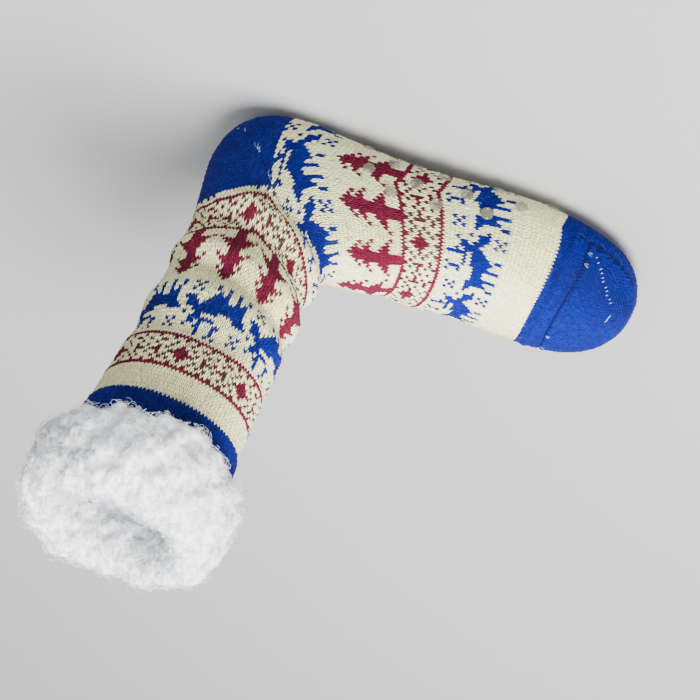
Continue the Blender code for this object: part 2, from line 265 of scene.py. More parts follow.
# One leg of a stitch is a low ridge with a row for each corner: wales from the stitch's middle, courses from
# its start, height over the face, the leg's own middle there in wales, and its place in its bake cell
LEG_CORNERS = (
    (0.040, -0.40, -0.00045, 0.040, 0.0, 0.5),
    (0.010, 0.06, -0.00030, 0.170, 0.3, 0.0),
    (0.165, 0.08, 0.00070, 0.170, 0.3, 0.5),
    (0.330, 0.12, -0.00030, 0.170, 0.3, 1.0),
    (0.200, 0.80, -0.00030, 0.348, 0.7, 0.0),
    (0.345, 0.82, 0.00070, 0.348, 0.7, 0.5),
    (0.495, 0.84, -0.00030, 0.348, 0.7, 1.0),
    (0.470, 1.34, -0.00045, 0.470, 1.0, 0.5),
)
LEG_FACES = ((0, 2, 1), (0, 3, 2), (1, 2, 5, 4), (2, 3, 6, 5), (4, 5, 7), (5, 6, 7))

# How much the legs differ, across and along the stitch, in height, and in the tint of dark and cream yarn
ACROSS_JITTER = 0.030
ALONG_JITTER = 0.05
HEIGHT_JITTER = 0.16
DARK_TINT = 0.17
CREAM_TINT = 0.06
DARK_BELOW = 0.5

# How far stitches stand over the face: every second wale of the welt, the toe seam's two courses, and less
# at the toe's gore and the heel's last short course
WELT_RIB = 0.0003
SEAM_SINK = -0.0007
SEAM_RIM = 0.0003
GORE_SINK = -0.0004
HEEL_EDGE_SINK = -0.0002

# Painted shade that darkens the blue yarn in the sunk seam and gore, and how often and how much it is marled
# with pale ends
SEAM_PAINTED_SHADE = 0.40
GORE_PAINTED_SHADE = 0.65
SEAM_MARL = (0.10, 0.45)
HEEL_MARL = (0.35, 0.6)

# The ground behind the stitches, darkened with painted shade for the shade between them: how deep it lies
# under the face, the painted shade's share, and its coarser grid
UNDER_DEPTH = 0.00045
GROUND_PAINTED_SHADE = 0.24
GROUND_STEP = 2
FLOOR_GAP = 0.00005

# Fine ends of yarn out of the knit: lengths, shares of the length that they rise and sway, radius, paleness
FUZZ_COUNT = 5200
FUZZ_LENGTHS = (0.0012, 0.0032)
FUZZ_RISES = (0.10, 0.55)
FUZZ_SWAYS = (-0.4, 0.4)
FUZZ_ROOT = 0.0005
FUZZ_STEPS = 4
FUZZ_ARCH = 0.7
FUZZ_RADIUS = 0.000030
FUZZ_TAPER = 0.5
FUZZ_PALER = 0.12
# Sides of the thin tubes of fuzz and locks
THIN_SIDES = 3

# The toe's chain of flecks and its short thread, as (course, turn), and their thickness
FLECKS = 11
FLECKS_FROM = (29.8, 0.283)
FLECKS_TO = (18.5, 0.372)
FLECK_JITTER = (0.25, 0.001)
FLECK_HALF = (0.25, 0.0022, 0.0012)
THREAD_PARTS = 3
THREAD_FROM = (15.3, 0.415)
THREAD_TO = (15.7, 0.437)
THREAD_BOW = 0.2
THREAD_RADII = (0.00016, 0.00026, 0.00016)
THREAD_LIFT = 0.00062
THREAD_SIDES = 5

# The collar: its grid round and along, and its clumps and tufts as a count, a height and a reach
COLLAR_GRID = (336, 80)
COLLAR_CLUMPS = (1150, 0.0026, 0.0040)
COLLAR_TUFTS = (5200, 0.0007, 0.0016)
COLLAR_SINK = 0.0015
# The share of the waves' height on the collar's inside
INNER_WAVES = 0.5
# The collar's section starts with its hidden seat, as places along the section
SEAT_END = 2.0
PILE_FROM = 2.4
OPEN_FROM = 3.2
CURVED_FROM = 4
# The two sets of locks, with their length and thickness
LOCKS = 9600
LOCK_SETS = (("fleece_locks_a", 0.0036, 0.00030), ("fleece_locks_b", 0.0042, 0.00024))
LOCK_SCATTER = 0.0003
LOCK_LEAN = 0.30
# A lock's curl: the spread of sizes, turns and thicknesses, then its width, arch, root, drift and taper
CURL_STEPS = 6
CURL_SIZES = (0.6, 1.3)
CURL_TURNS = (0.7, 1.6)
CURL_THICKNESSES = (0.7, 1.3)
CURL_WIDTH = 2.2
CURL_RISE = 0.42
CURL_ARCH = 0.62
CURL_ROOT = 0.0004
CURL_DRIFT = 0.25
CURL_TAPER = 0.55

# The lining's lumps, how deep in the lining's wall they start, and its coarser grid along and round
LINING_LUMPS = (1600, 0.0016, 0.0042)
LINING_DEPTH = 0.72
LINING_STEPS = (3, 2)

# A printed dot's dome: sides, and its rings as (share of the radius, share of the height) below the tip. It
# stands over the plain dot's flat top, because the stitches reach up round it.
DOME_SIDES = 20
DOME_LEVELS = ((1.00, 0.0), (0.98, 0.30), (0.88, 0.58), (0.70, 0.80), (0.40, 0.95))
DOT_OVER = 0.00060
DOT_CELL = 0.42

# A piece's bake cell keeps clear of its neighbours
CELL_MARGIN = 0.08
CELL_FILL = 0.84

# Floor, world and lights: place, size and power
FLOOR_REACH = 6.0
FLOOR_COLOUR = (0.40, 0.40, 0.395)
WORLD_COLOUR = (0.92, 0.95, 1.0)
WORLD_STRENGTH = 0.70
LIGHTS = {
    "key": ((0.42, 0.40, 1.35), (0.7, 0.6), 74.0),
    "fill": ((0.9, 0.9, 0.7), (0.9, 0.9), 5.0),
    "back": ((0.1, -1.1, 0.8), (1.0, 0.6), 5.0),
}
LIGHT_AIM = (0.0, 0.0, 0.1)

# Azimuth, elevation and roll in degrees, the aim, how far away the camera is, and its lens
CAMERA_ANGLES = (179.0, 40.0, 204.0)
CAMERA_AIM = (-0.008, 0.005, 0.125)
CAMERA_AWAY = 0.95
CAMERA_LENS = 97.0


def interpolate(rows, at):
    """A smooth value between the rows of a table."""
    index = min(int(at), len(rows) - 2)
    share = at - index
    before = rows[max(index - 1, 0)]
    start = rows[index]
    end = rows[index + 1]
    after = rows[min(index + 2, len(rows) - 1)]
    leave = (end - before) * (0.5 if index > 0 else 1.0)
    arrive = (after - start) * (0.5 if index + 2 < len(rows) else 1.0)
    square = share * share
    cube = square * share
    return (
        start * (2 * cube - 3 * square + 1)
        + leave * (cube - 2 * square + share)
        + end * (3 * square - 2 * cube)
        + arrive * (cube - square)
    )


def sections():
    """The tables' sections in metres: top x and z, sole or back x and z, half width, belly."""
    bend_x = ANKLE_BEND * LEG_DEPTH
    front_x = LEG_FRONT * LEG_DEPTH
    leg_rise = KNIT_HEIGHT - INSTEP_HEIGHT
    rows = []
    for top_x, top_z, sole_x, sole_z, width, belly in FOOT_SECTIONS:
        top = (bend_x + top_x * (FOOT_LENGTH - bend_x), top_z * INSTEP_HEIGHT)
        rows.append((*top, sole_x * FOOT_LENGTH, sole_z * INSTEP_HEIGHT, width * BALL_WIDTH / 2, belly))
    for top_x, top_z, heel_x, heel_z, width, belly in HEEL_SECTIONS:
        top = (front_x + top_x * (bend_x - front_x), top_z * INSTEP_HEIGHT)
        rows.append((*top, heel_x * LEG_DEPTH, heel_z * HEEL_HEIGHT, width * HEEL_WIDTH / 2, belly))
    for back_x, depth, front_z, back_z, width, belly in LEG_SECTIONS:
        front = ((back_x + depth) * LEG_DEPTH, INSTEP_HEIGHT + front_z * leg_rise)
        back = (back_x * LEG_DEPTH, INSTEP_HEIGHT + back_z * leg_rise)
        rows.append((*front, *back, width * LEG_WIDTH / 2, belly))
    return np.array(rows)


def sole_press(x):
    """How high the sole lies at x: on the floor at the heel, and on its dots further on."""
    share = np.clip((x - HEEL_FLAT_END) / LIFT_RUN, 0.0, 1.0)
    return SOLE_LIFT * share * share * (3 - 2 * share)


def outline(section, segments):
    """Points evenly round a section, from the middle of the sole."""
    top_x, top_z, back_x, back_z, half_width, belly = section
    angle = np.linspace(0.0, 2 * math.pi, OUTLINE_SAMPLES + 1) - math.pi / 2
    height = math.hypot(top_x - back_x, top_z - back_z)
    upright = (top_x - back_x) ** 2 / max(height * height, TINY)
    power = np.where(np.sin(angle) < 0, SOLE_POWER + SOLE_FLATTER * (1.0 - upright), TOP_POWER)
    across = np.sign(np.cos(angle)) * np.abs(np.cos(angle)) ** (2 / power) * half_width
    lift = np.sign(np.sin(angle)) * np.abs(np.sin(angle)) ** (2 / power)
    share = np.where(lift < 0, belly * (1 + lift), belly + (1 - belly) * lift)
    x = back_x + share * (top_x - back_x)
    z = back_z + share * (top_z - back_z)
    points = np.stack([x, across, np.maximum(z, sole_press(x))], axis=1)
    run = np.concatenate([[0.0], np.cumsum(np.linalg.norm(np.diff(points, axis=0), axis=1))])
    wanted = np.arange(segments) / segments * run[-1]
    return np.stack([np.interp(wanted, run, points[:, k]) for k in range(3)], axis=1)


def fold_depth(points):
    """How far the slack folds push points out of the wall."""
    total = np.zeros(points.shape[:-1])
    side = np.clip(points[..., 1] / (LEG_WIDTH / 2), -1.0, 1.0)
    for from_x, from_z, to_x, to_z, depth, reach, tilt in FOLDS:
        start = np.array([from_x * LEG_DEPTH, from_z * KNIT_HEIGHT])
        run = np.array([to_x * LEG_DEPTH, to_z * KNIT_HEIGHT]) - start
        seen = np.stack([points[..., 0], points[..., 2] - tilt * side], axis=-1) - start
        share = np.clip((seen @ run) / (run @ run), 0.0, 1.0)
        away = np.linalg.norm(seen - share[..., None] * run, axis=-1)
        total += depth * np.exp(-((away / reach) ** 2))
    return total


def unit(vectors):
    return vectors / np.maximum(np.linalg.norm(vectors, axis=-1, keepdims=True), TINY)


def surface_normals(grid):
    """Outward normals of rings that start at the toe's tip."""
    along = np.gradient(grid, axis=0)
    around = np.roll(grid, -1, axis=1) - np.roll(grid, 1, axis=1)
    normals = unit(np.cross(along, around))
    normals[0] = (1.0, 0.0, 0.0)
    return normals


def relief(grid):
    """The toe seam's ridge over the instep, and the welt's step."""
    middle = grid.mean(axis=1, keepdims=True)
    upper = np.clip((grid[..., 2] - middle[..., 2]) / (SEAM_FADE * INSTEP_HEIGHT) + 0.5, 0.0, 1.0)
    from_seam = (grid[..., 0] - (FOOT_LENGTH - SEAM_FROM_TIP)) / (SEAM_WIDTH / 2)
    seam = SEAM_HEIGHT * np.exp(-(from_seam**2)) * upper * (grid[..., 0] > FOOT_LENGTH / 2)
    into_welt = (grid[..., 2] - (KNIT_HEIGHT - WELT_HEIGHT)) / (2 * SEAM_WIDTH)
    return seam + WELT_STEP * np.clip(into_welt + 0.5, 0.0, 1.0)


class Face:
    """The knit's outer face as a fine grid of rings, on which the courses are laid out."""

    def __init__(self, shift):
        rows = sections()
        places = np.arange(0.0, len(rows) - 1 + GRID_STEP / 2, GRID_STEP)
        smooth = np.array([outline(interpolate(rows, min(at, len(rows) - 1.0)), GRID_ROUND) for at in places])
        smooth[0] = smooth[0].mean(axis=0)
        normals = surface_normals(smooth)
        grid = smooth + normals * (fold_depth(smooth) + relief(smooth))[..., None]
        grid[..., 2] = np.maximum(grid[..., 2], sole_press(grid[..., 0]))
        grid[-1, :, 2] = KNIT_HEIGHT
        self.normals = surface_normals(grid)
        self.grid = grid + shift
        self.girth = np.linalg.norm(np.roll(smooth, -1, axis=1) - smooth, axis=2).sum(axis=1)
        self.lay_courses()

    def lay_courses(self):
        """Finds the fractional ring where each course crosses the face, for the foot's and the leg's courses.
        Up the leg the courses level out to one pitch all round, and the ankle takes up the rest."""
        steps = np.linalg.norm(np.diff(self.grid, axis=0), axis=2)
        run = np.vstack([np.zeros((1, GRID_ROUND)), np.cumsum(steps, axis=0)])
        foot_more, leg_more = heel_rows(np.arange(GRID_ROUND) / GRID_ROUND)
        every = laid(ALL_ROWS) + foot_more + leg_more
        courses = laid(np.arange(0.0, ALL_ROWS + COURSE_STEP / 2, COURSE_STEP))
        rings = np.arange(self.grid.shape[0], dtype=float)
        self.foot_rings = np.empty((len(courses), GRID_ROUND))
        self.leg_rings = np.empty((len(courses), GRID_ROUND))
        for j in range(GRID_ROUND):
            length = run[-1, j]
            pitch = length / every[j]
            below = laid(HEEL_ROW) + foot_more[j]
            rest = every[j] - below
            shares = np.linspace(0.0, 1.0, LEVEL_SAMPLES)
            level = np.clip((shares * rest - LEVEL_FROM) / (LEVEL_TO - LEVEL_FROM), 0.0, 1.0)
            level = level * level * (3 - 2 * level)
            taken = np.concatenate([[0.0], np.cumsum((level[1:] + level[:-1]) / 2)])
            from_top = LEG_PITCH * rest * shares + (pitch - LEG_PITCH) * rest * taken / taken[-1]
            high = every[j] - courses - foot_more[j] - leg_more[j]
            on_foot = np.minimum(courses * pitch, below * pitch)
            on_leg = length - np.interp(high / rest, shares, from_top)
            self.foot_rings[:, j] = np.interp(on_foot, run[:, j], rings)
            self.leg_rings[:, j] = np.interp(on_leg, run[:, j], rings)

    def ring(self, course, turn, on_leg):
        """The fractional ring of a course at a turn, among the leg's or the foot's courses."""
        place = np.asarray(course) / COURSE_STEP
        return np.where(on_leg, sample(self.leg_rings, place, turn), sample(self.foot_rings, place, turn))

    def row_girth(self, course):
        """How far it is round the sock at a course of the toe."""
        ring = self.ring(np.array([course]), np.array([0.5]), False)[0]
        return float(np.interp(ring, np.arange(len(self.girth)), self.girth))

    def place(self, course, turn, on_leg):
        """Point and normal at a course and a turn."""
        ring = self.ring(course, turn, on_leg)
        return sample(self.grid, ring, turn), unit(sample(self.normals, ring, turn))

    def rings(self, step):
        """Every so many rings of the grid, and its last."""
        last = self.grid.shape[0] - 1
        return np.append(np.arange(0, last, step), last)


def laid(course):
    """A course's distance from the toe's tip, in patterned courses."""
    return np.minimum(course, TOE_ROWS) * PLAIN_SHARE + np.maximum(np.asarray(course, float) - TOE_ROWS, 0.0)


def heel_rows(turn):
    """How many patterned courses of the heel's two halves a wale crosses."""
    away = np.abs((np.asarray(turn) + 0.5) % 1.0 - 0.5)
    share = np.clip((HEEL_WIDE - away) / (HEEL_WIDE - HEEL_NARROW), 0.0, 1.0)
    return share * HEEL_FOOT_ROWS, share * HEEL_LEG_ROWS


def sample(field, ring, turn):
    """Bilinear sample of a field of rings by wrapped turns."""
    ring = np.clip(ring, 0.0, field.shape[0] - 1 - EDGE)
    column = (np.asarray(turn) % 1.0) * field.shape[1]
    i = ring.astype(int)
    j = np.floor(column).astype(int)
    di = ring - i
    dj = column - j
    j = j % field.shape[1]
    k = (j + 1) % field.shape[1]
    if field.ndim == 3:
        di, dj = di[..., None], dj[..., None]
    low = field[i, j] * (1 - dj) + field[i, k] * dj
    high = field[i + 1, j] * (1 - dj) + field[i + 1, k] * dj
    return low * (1 - di) + high * di


class Stitch(NamedTuple):
    """A stitch, with its width and length in turns and courses. behind is the colour of the yarn carried
    behind it, lift raises it over the face and slim narrows its legs."""

    course: float
    turn: float
    width: float
    on_leg: bool
    colour: tuple
    behind: tuple
    lift: float = 0.0
    slim: float = 1.0
    length: float = 1.0


def values(stitches, name):
    """One value of many stitches, as an array."""
    return np.array([getattr(one, name) for one in stitches])


def letter(chart, row, wale):
    return chart[row][wale % len(chart[row])]


def lone(chart, row, wale):
    """Whether a motif stitch stands alone, so that the stitches beside it squeeze it."""
    near = ((0, 1), (0, -1), (1, 0), (-1, 0))
    return not any(0 <= row + i < len(chart) and letter(chart, row + i, wale + k) == "#" for i, k in near)


def blend(one, two, share):
    return tuple(p * (1 - share) + q * share for p, q in zip(one, two))


# Darkens a colour; the script uses it for painted shade.
def shade(colour, share):
    return tuple(share * c for c in colour)


def stitch_colour(row, wale):
    """A stitch's colour, the colour of the yarn carried behind it, and how wide its legs are."""
    if row < TOE_ROWS or row >= WELT_ROW:
        return BLUE, BLUE, 1.0
    start = TOE_ROWS
    for kind, count in BANDS:
        if row < start + count:
            break
        start += count
    inside = row - start
    if kind == "line":
        return CRIMSON, CRIMSON, 1.0
    if kind == "plain":
        return CREAM, CREAM, 1.0
    chart, colour, through, share, shift = CHARTS[kind]
    found = letter(chart, inside, wale + shift)
    if found == ":" or (found == "#" and lone(chart, inside, wale + shift)):
        # Painted shade: a squeezed or half-covered stitch's yarn is darkened for the shade it sits in between
        # its neighbours.
        slim, dark = SLIM_AND_PAINTED_SHADE[found]
        return shade(colour, dark), blend(CREAM, colour, SQUEEZED_GROUND), slim
    if found == "#":
        return colour, colour, 1.0
    shows = RNG.random() < share
    return (blend(CREAM, through, RNG.uniform(*SHOWS_THROUGH)) if shows else CREAM), colour, 1.0


def toe_stitch(row, turn, width, on_instep, at_gore):
    """A stitch of the toe, with the seam over the instep and the gore at the sides."""
    at_seam = on_instep and row == SEAM_ROW
    at_rim = on_instep and row == SEAM_ROW - 1
    colour = BLUE
    if at_rim and RNG.random() < SEAM_MARL[0]:
        colour = blend(BLUE, PALE_BLUE, SEAM_MARL[1])
    # Painted shade: the sunk seam's and gore's stitches are darkened for the shade in their grooves.
    if at_seam:
        colour = shade(BLUE, SEAM_PAINTED_SHADE)
    if at_gore:
        colour = shade(BLUE, GORE_PAINTED_SHADE)
    lift = SEAM_SINK * at_seam + SEAM_RIM * at_rim + GORE_SINK * at_gore
    return Stitch(row, turn, width, False, colour, BLUE, lift)


def toe_stitches(face):
    """The toe's courses, with fewer wales a course on each face towards the tip."""
    made = []
    full = face.row_girth(TOE_ROWS)
    for row in range(1, TOE_ROWS):
        half_count = WALES / 2 * min(1.0, face.row_girth(row + 0.5) / full)
        width = 1 / (2 * half_count)
        for centre in (0.0, 0.5):
            for step in range(WALES // 2):
                away = step + 0.5 - WALES / 4
                if abs(away) > half_count / 2:
                    continue
                at_gore = half_count / 2 - abs(away) < 1.0 and row < SEAM_ROW
                made.append(toe_stitch(row, centre + away * width, width, centre == 0.5, at_gore))
    return made


def heel_stitches():
    """The short courses of the heel's two halves."""
    made = []
    for wale in range(WALES):
        turn = (wale + 0.5) / WALES
        foot_more, leg_more = (int(round(float(v) / PLAIN_SHARE)) for v in heel_rows(turn))
        for row in range(foot_more):
            edge = row == foot_more - 1
            colour = blend(BLUE, PALE_BLUE, HEEL_MARL[1]) if edge and RNG.random() < HEEL_MARL[0] else BLUE
            course = HEEL_ROW + row * PLAIN_SHARE
            lift = HEEL_EDGE_SINK * edge
            made.append(Stitch(course, turn, 1 / WALES, False, colour, BLUE, lift, length=PLAIN_SHARE))
        for row in range(leg_more):
            course = HEEL_ROW - (row + 1) * PLAIN_SHARE
            made.append(Stitch(course, turn, 1 / WALES, True, BLUE, BLUE, length=PLAIN_SHARE))
    return made


def stitch_groups(face):
    """The stitches of the toe, the foot, the heel, the lower and the upper leg."""
    groups = {"toe": toe_stitches(face), "foot": [], "heel": [], "leg": [], "shaft": []}
    shaft_row = (HEEL_ROW + ALL_ROWS) // 2
    for row in range(TOE_ROWS, ALL_ROWS):
        on_leg = row >= HEEL_ROW
        name = "foot" if not on_leg else ("leg" if row < shaft_row else "shaft")
        for wale in range(WALES):
            colour, behind, slim = stitch_colour(row, wale)
            lift = WELT_RIB if row >= WELT_ROW and wale % 2 else 0.0
            turn = (wale + 0.5) / WALES
            groups[name].append(Stitch(row, turn, 1 / WALES, on_leg, colour, behind, lift, slim))
    groups["heel"] = heel_stitches()
    return groups


def leg_points(face, stitches):
    """The corners of the two legs of each stitch."""
    count = len(stitches)
    course, turn, width = (values(stitches, name) for name in ("course", "turn", "width"))
    on_leg, lift, slim, length = (values(stitches, name) for name in ("on_leg", "lift", "slim", "length"))
    points = np.empty((count, 2, len(LEG_CORNERS), 3))
    jitter = RNG.normal(0.0, 1.0, (count, 2, 4))
    for which, side in enumerate((-1.0, 1.0)):
        for k, (out, start, high, middle, _, _) in enumerate(LEG_CORNERS):
            away = side * (middle + (out - middle) * slim + ACROSS_JITTER * jitter[:, which, 0]) * width
            along = ((1.0 - start) + ALONG_JITTER * jitter[:, which, 1]) * length
            height = high * slim * (1.0 + HEIGHT_JITTER * jitter[:, which, 2]) + lift
            point, normal = face.place(course + along, turn + away, on_leg)
            points[:, which, k] = point + normal * height[:, None]
    points[..., 2] = np.maximum(points[..., 2], FLOOR_GAP)
    return points


def bake_cells(count):
    """The corners of a square of cells for that many small pieces, and how many cells are in a row."""
    side = math.ceil(math.sqrt(count))
    cell = np.arange(count)
    return np.stack([cell % side, cell // side], axis=1) / side, side


def mesh_object(name, vertices, corners, face_sizes, uv, finish, colours=None):
    """An object from flat arrays: the faces' corners as vertex numbers, how many a face has, and each
    corner's place in the bake layout. Colours are one a vertex."""
    mesh = bpy.data.meshes.new(name)
    mesh.vertices.add(len(vertices))
    mesh.vertices.foreach_set("co", np.ascontiguousarray(vertices, np.float32).ravel())
    mesh.loops.add(len(corners))
    mesh.loops.foreach_set("vertex_index", np.ascontiguousarray(corners, np.int32))
    starts = np.concatenate([[0], np.cumsum(face_sizes)[:-1]]).astype(np.int32)
    mesh.polygons.add(len(face_sizes))
    mesh.polygons.foreach_set("loop_start", starts)
    mesh.update(calc_edges=True)
    mesh.shade_smooth()
    layer = mesh.uv_layers.new(name="OFBake")
    layer.data.foreach_set("uv", np.ascontiguousarray(uv, np.float32).ravel())
    if colours is not None:
        paint = mesh.color_attributes.new("yarn_colour", "FLOAT_COLOR", "POINT")
        whole = np.ones((len(vertices), 4), np.float32)
        whole[:, :3] = colours
        paint.data.foreach_set("color", whole.ravel())
    mesh.materials.append(finish)
    made = bpy.data.objects.new(name, mesh)
    bpy.context.scene.collection.objects.link(made)
    return made


def stitch_piece(name, face, stitches, finish):
    """Stitches as one object, each of two legs in one tint of its colour."""
    points = leg_points(face, stitches)
    legs = len(stitches) * 2
    right = np.array([corner for shape in LEG_FACES for corner in shape])
    left = np.array([corner for shape in LEG_FACES for corner in shape[::-1]])
    orders = np.tile(np.stack([left, right]), (len(stitches), 1))
    numbers = orders + np.arange(legs)[:, None] * len(LEG_CORNERS)
    origin, side = bake_cells(legs)
    local = np.array(LEG_CORNERS)[:, 4:][orders]
    uv = origin[:, None] + (CELL_MARGIN + CELL_FILL * local) / side
    colour = values(stitches, "colour")
    unevenness = np.where(colour.max(axis=1) < DARK_BELOW, DARK_TINT, CREAM_TINT)[:, None, None, None]
    tint = 1.0 + RNG.normal(0.0, 1.0, (len(stitches), 2, 1, 1)) * unevenness
    paint = np.clip(colour[:, None, None, :] * tint, 0.0, 1.0).reshape(legs, 3)
    sizes = np.tile([len(shape) for shape in LEG_FACES], legs)
    paints = np.repeat(paint, len(LEG_CORNERS), axis=0)
    return mesh_object(name, points.reshape(-1, 3), numbers.ravel(), sizes, uv.reshape(-1, 2), finish, paints)


def tube_piece(name, paths, radii, sides, finish, colours=None):
    """Thin tubes through paths (count, steps, 3), with a radius at each step and a colour each."""
    count, steps, _ = paths.shape
    along = unit(np.gradient(paths, axis=1))
    up = np.where(np.abs(along[..., 2:3]) > 0.9, (1.0, 0.0, 0.0), (0.0, 0.0, 1.0))
    one = unit(np.cross(along, up))
    two = np.cross(along, one)
    angle = (np.arange(sides) / sides * 2 * math.pi)[None, None, :, None]
    ring = one[:, :, None, :] * np.cos(angle) + two[:, :, None, :] * np.sin(angle)
    points = paths[:, :, None, :] + ring * radii[:, :, None, None]
    s, k = (v.ravel() for v in np.meshgrid(np.arange(steps - 1), np.arange(sides), indexing="ij"))
    after = (k + 1) % sides
    rows = s * sides
    quads = np.stack([rows + k, rows + after, rows + sides + after, rows + sides + k], axis=1)
    numbers = (np.arange(count) * steps * sides)[:, None, None] + quads[None]
    local = np.stack([
        np.stack([s, s, s + 1, s + 1], axis=1) / (steps - 1),
        np.stack([k, k + 1, k + 1, k], axis=1) / sides,
    ], axis=-1).reshape(-1, 2)
    origin, side = bake_cells(count)
    uv = origin[:, None] + (CELL_MARGIN + CELL_FILL * local) / side
    sizes = np.full(count * len(quads), 4)
    paints = None if colours is None else np.repeat(colours, steps * sides, axis=0)
    return mesh_object(name, points.reshape(-1, 3), numbers.ravel(), sizes, uv.reshape(-1, 2), finish, paints)


def grid_piece(name, grid, finish, colours=None, closed_along=False, flip=False):
    """A grid of rings, each closed round."""
    rings, count, _ = grid.shape
    last = rings if closed_along else rings - 1
    i, k = np.meshgrid(np.arange(last), np.arange(count), indexing="ij")
    here = i * count
    next_ring = (i + 1) % rings * count
    after = (k + 1) % count
    quads = np.stack([here + k, here + after, next_ring + after, next_ring + k], axis=-1)
    corners = [(k, i), (k + 1, i), (k + 1, i + 1), (k, i + 1)]
    uv = np.stack([np.stack(pair, axis=-1) for pair in corners], axis=2) / np.array([count, last])
    if flip:
        quads = quads[..., ::-1]
        uv = uv[:, :, ::-1]
    sizes = np.full(last * count, 4)
    paints = None if colours is None else colours.reshape(-1, 3)
    return mesh_object(name, grid.reshape(-1, 3), quads.ravel(), sizes, uv.reshape(-1, 2), finish, paints)


def place_many(face, stitches):
    """The middles of stitches, with the face's normals there."""
    return face.place(values(stitches, "course") + 0.5, values(stitches, "turn"), values(stitches, "on_leg"))


def in_parts(function, points):
    """A function's values for many points, worked out a part at a time to save memory."""
    starts = range(0, len(points), PART_SIZE)
    return np.concatenate([function(points[start:start + PART_SIZE]) for start in starts])


def ground_piece(face, stitches, finish):
    """The ground seen between the stitches, in the colours of the yarns carried behind, darkened with painted
    shade.
    """
    rings = face.rings(GROUND_STEP)
    points = (face.grid[rings] - face.normals[rings] * UNDER_DEPTH)[:, ::GROUND_STEP]
    where, _ = place_many(face, stitches)
    mixed = (values(stitches, "behind") + values(stitches, "colour")) / 2

    def nearest(part):
        return ((part[:, None, :] - where[None]) ** 2).sum(axis=2).argmin(axis=1)

    # Painted shade: the carried yarns' colours are darkened to stand in for the shade between the stitches.
    paint = mixed[in_parts(nearest, points.reshape(-1, 3))] * GROUND_PAINTED_SHADE
    return grid_piece("knit_ground_painted_shade", points, finish, paint)


def lumps(points, seeds, reach):
    """Height of rounded lumps about seeds, from 0 between them to 1 on top."""

    def height(part):
        away = np.sqrt(((part[:, None, :] - seeds[None]) ** 2).sum(axis=2).min(axis=1))
        return np.clip(1.0 - (away / reach) ** 2, 0.0, 1.0)

    return in_parts(height, points)


def pile_lump(turn, k):
    """The collar's waves at a turn and a place along its section."""
    whole = 2 * math.pi * turn
    return sum(
        share * np.sin(around * whole + along * k + start) for around, along, start, share in PILE_WAVES
    )


def cuff_profile():
    """The collar's section as places (out of the knit's face, above its top), from the inside round."""
    seat_in = -(KNIT_WALL + LINING_CLEARANCE + LINING_THICKNESS)
    return np.array([
        (seat_in, FIT_GAP),
        (FIT_GAP * 2, FIT_GAP),
        (FIT_GAP * 2, -0.70 * CUFF_LIP),
        (0.38 * CUFF_BULGE, -CUFF_LIP),
        (0.82 * CUFF_BULGE, -0.40 * CUFF_LIP),
        (1.00 * CUFF_BULGE, 0.14 * CUFF_HEIGHT),
        (1.02 * CUFF_BULGE, 0.36 * CUFF_HEIGHT),
        (0.90 * CUFF_BULGE, 0.60 * CUFF_HEIGHT),
        (0.58 * CUFF_BULGE, 0.83 * CUFF_HEIGHT),
        (0.05 * CUFF_BULGE, 0.97 * CUFF_HEIGHT),
        (-0.52 * CUFF_INNER, 0.95 * CUFF_HEIGHT),
        (-0.92 * CUFF_INNER, 0.76 * CUFF_HEIGHT),
        (-1.00 * CUFF_INNER, 0.48 * CUFF_HEIGHT),
        (-0.88 * CUFF_INNER, 0.20 * CUFF_HEIGHT),
    ])


def cuff_curve(profile, places):
    """The collar's section at places along it: straight at the seat, and a smooth curve through the rest."""
    count = len(profile)
    index = np.floor(places).astype(int) % count
    share = (places - np.floor(places))[:, None]
    p0, p1, p2, p3 = (profile[(index + k) % count] for k in (-1, 0, 1, 2))
    curve = 0.5 * (
        2 * p1
        + (p2 - p0) * share
        + (2 * p0 - 5 * p1 + 4 * p2 - p3) * share**2
        + (3 * p1 - p0 - 3 * p2 + p3) * share**3
    )
    straight = p1 * (1 - share) + p2 * share
    return np.where(((places < CURVED_FROM) | (places > count - 1))[:, None], straight, curve)


def cuff_surface(face, turns, places):
    """Points of the collar at turns round and at places along its section, before the fine lumps."""
    profile = cuff_profile()
    centre = profile[CURVED_FROM:].mean(axis=0)
    curve = cuff_curve(profile, places)
    last = np.full(len(turns), face.grid.shape[0] - 1.0)
    top = sample(face.grid, last, turns)
    out = unit(sample(face.normals, last, turns) * (1.0, 1.0, 0.0))
    raised = np.clip(places - SEAT_END, 0.0, 1.0) * np.where(curve[:, 0] < 0, INNER_WAVES, 1.0)
    lump = pile_lump(turns[:, None], places[None, :]) * TUFT_DEPTH * raised[None, :]
    away = curve[None] + unit(curve - centre)[None] * lump[..., None]
    points = np.empty((len(turns), len(places), 3))
    points[..., :2] = top[:, None, :2] + out[:, None, :2] * away[..., :1]
    points[..., 2] = KNIT_HEIGHT + away[..., 1]
    return points


def closed_normals(grid):
    """Outward normals of a grid that is closed both ways."""
    turning = np.roll(grid, -1, axis=0) - np.roll(grid, 1, axis=0)
    along = np.roll(grid, -1, axis=1) - np.roll(grid, 1, axis=1)
    return unit(np.cross(along, turning))


def two_across(normals):
    """Two directions across each normal, the first at random."""
    one = np.cross(normals, RNG.normal(size=(len(normals), 3)))
    one /= np.linalg.norm(one, axis=1, keepdims=True)
    return one, np.cross(normals, one)


